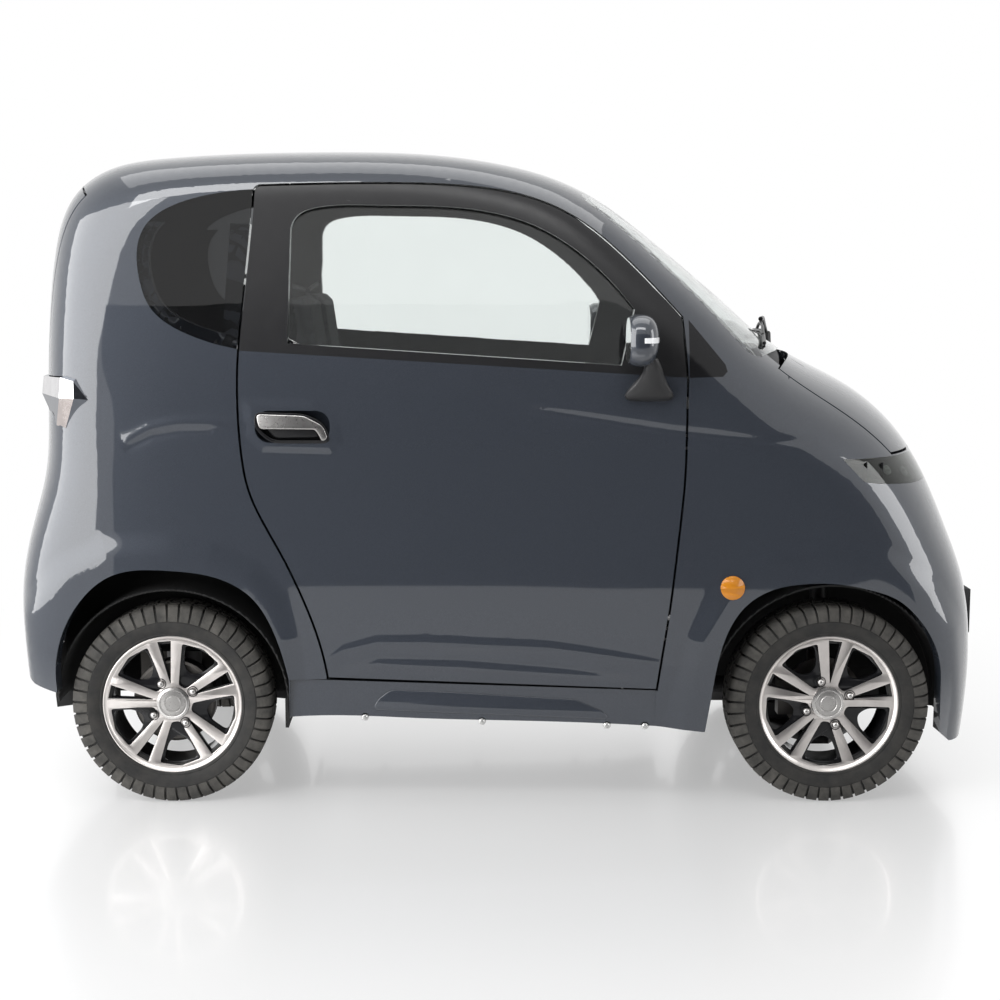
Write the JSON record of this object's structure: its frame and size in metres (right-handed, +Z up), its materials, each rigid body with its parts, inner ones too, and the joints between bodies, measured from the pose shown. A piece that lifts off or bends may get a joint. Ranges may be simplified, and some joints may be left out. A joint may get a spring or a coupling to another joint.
{
  "type": "two-seat electric microcar",
  "caption": "Small two-seat electric microcar with hinged doors, bonnet and tailgate, steered front wheels and a one-volume rounded body.",
  "frame": {"origin": "centre of the car's footprint, on the floor", "axes": "+X towards the nose, +Y towards the car's left side, +Z up"},
  "size_m": [2.4418, 1.456, 1.6068],
  "materials": {
    "body_paint": "dark slate blue-grey metallic, clear-coated gloss",
    "black_plastic": "grained matt black",
    "gloss_black": "satin to gloss black",
    "clear_glass": "clear with a faint green edge",
    "tinted_glass": "dark privacy tint",
    "lamp_lens": "clear polished lens",
    "amber_lens": "amber, ribbed",
    "chassis_black": "black satin paint",
    "seat_fabric": "dark grey woven cloth",
    "cast_metal": "bare casting, machined where it runs",
    "hinge_steel": "zinc-plated",
    "rim_alloy": "machined bright face, dark pockets",
    "tyre_rubber": "matt black"
  },
  "bodies": {
    "car_body": {"roof_panel": "body_paint", "cowl_panel": "black_plastic", "front_bumper": "body_paint", "rear_valance": "body_paint", "plate_carrier": "black_plastic", "windscreen_frame": "body_paint", "windscreen": "clear_glass", "corner_trims": "gloss_black", "headlamps": "lamp_lens", "tail_lamps": "lamp_lens", "side_indicators": "amber_lens", "sills": "black_plastic", "quarter_glass": "tinted_glass", "floor_pan": "chassis_black", "chassis_frame": "chassis_black", "wheel_liners": "black_plastic", "seats": "seat_fabric", "battery_block": "chassis_black", "dashboard": "black_plastic", "driver_controls": "black_plastic", "drive_unit": "cast_metal", "rear_axle": "chassis_black", "suspension": "chassis_black", "lid_hinges": "hinge_steel", "fender_left": "body_paint", "quarter_panel_left": "body_paint", "fender_right": "body_paint", "quarter_panel_right": "body_paint"},
    "bonnet_lid": {"bonnet": "body_paint"},
    "tailgate_lid": {"tailgate": "body_paint", "tailgate_glass": "tinted_glass"},
    "steering": {"steering_wheel": "black_plastic"},
    "door_left": {"door_panel_left": "body_paint", "door_frame_left": "gloss_black", "door_glass_left": "clear_glass", "door_handle_left": "body_paint", "mirror_left": "body_paint"},
    "steering_knuckle_left": {"knuckle_left": "cast_metal"},
    "wheel_front_left": {"rim_front_left": "rim_alloy", "tyre_front_left": "tyre_rubber"},
    "wheel_rear_left": {"rim_rear_left": "rim_alloy", "tyre_rear_left": "tyre_rubber"},
    "door_right": {"door_panel_right": "body_paint", "door_frame_right": "gloss_black", "door_glass_right": "clear_glass", "door_handle_right": "body_paint", "mirror_right": "body_paint"},
    "steering_knuckle_right": {"knuckle_right": "cast_metal"},
    "wheel_front_right": {"rim_front_right": "rim_alloy", "tyre_front_right": "tyre_rubber"},
    "wheel_rear_right": {"rim_rear_right": "rim_alloy", "tyre_rear_right": "tyre_rubber"}
  },
  "joints": [
    {"name": "door_left_swing", "type": "hinge", "parent": "car_body", "child": "door_left", "pos_m": [0.38771, 0.573, 0.665], "axis": [-0.0906, 0, -0.9959], "range_deg": [0, 60]},
    {"name": "door_right_swing", "type": "hinge", "parent": "car_body", "child": "door_right", "pos_m": [0.38771, -0.573, 0.665], "axis": [0.0906, 0, 0.9959], "range_deg": [0, 60]},
    {"name": "bonnet_lift", "type": "hinge", "parent": "car_body", "child": "bonnet_lid", "pos_m": [0.75944, 0, 1.06704], "axis": [0, -1, 0], "range_deg": [0, 55]},
    {"name": "tailgate_lift", "type": "hinge", "parent": "car_body", "child": "tailgate_lid", "pos_m": [-1.06159, 0, 1.49435], "axis": [0, 1, 0], "range_deg": [0, 70]},
    {"name": "steer_left", "type": "hinge", "parent": "car_body", "child": "steering_knuckle_left", "pos_m": [0.808, 0.412, 0.165], "axis": [0, -0.1366, 0.9906], "range_deg": [-28, 28]},
    {"name": "steer_right", "type": "hinge", "parent": "car_body", "child": "steering_knuckle_right", "pos_m": [0.808, -0.412, 0.165], "axis": [0, 0.1366, 0.9906], "range_deg": [-28, 28]},
    {"name": "steering_wheel_turn", "type": "hinge", "parent": "car_body", "child": "steering", "pos_m": [0.15, 0.238, 0.872], "axis": [-0.8829, 0, 0.4695], "range_deg": [-400, 400]},
    {"name": "wheel_front_left_spin", "type": "hinge", "parent": "steering_knuckle_left", "child": "wheel_front_left", "pos_m": [0.808, 0.48, 0.248], "axis": [0, 1, 0], "continuous": true},
    {"name": "wheel_rear_left_spin", "type": "hinge", "parent": "car_body", "child": "wheel_rear_left", "pos_m": [-0.808, 0.48, 0.248], "axis": [0, 1, 0], "continuous": true},
    {"name": "wheel_front_right_spin", "type": "hinge", "parent": "steering_knuckle_right", "child": "wheel_front_right", "pos_m": [0.808, -0.48, 0.248], "axis": [0, 1, 0], "continuous": true},
    {"name": "wheel_rear_right_spin", "type": "hinge", "parent": "car_body", "child": "wheel_rear_right", "pos_m": [-0.808, -0.48, 0.248], "axis": [0, 1, 0], "continuous": true}
  ],
  "couplings": [
    {"joint": "steer_right", "follows": "steer_left", "ratio": 1},
    {"joint": "steering_wheel_turn", "follows": "steer_left", "ratio": 14}
  ]
}
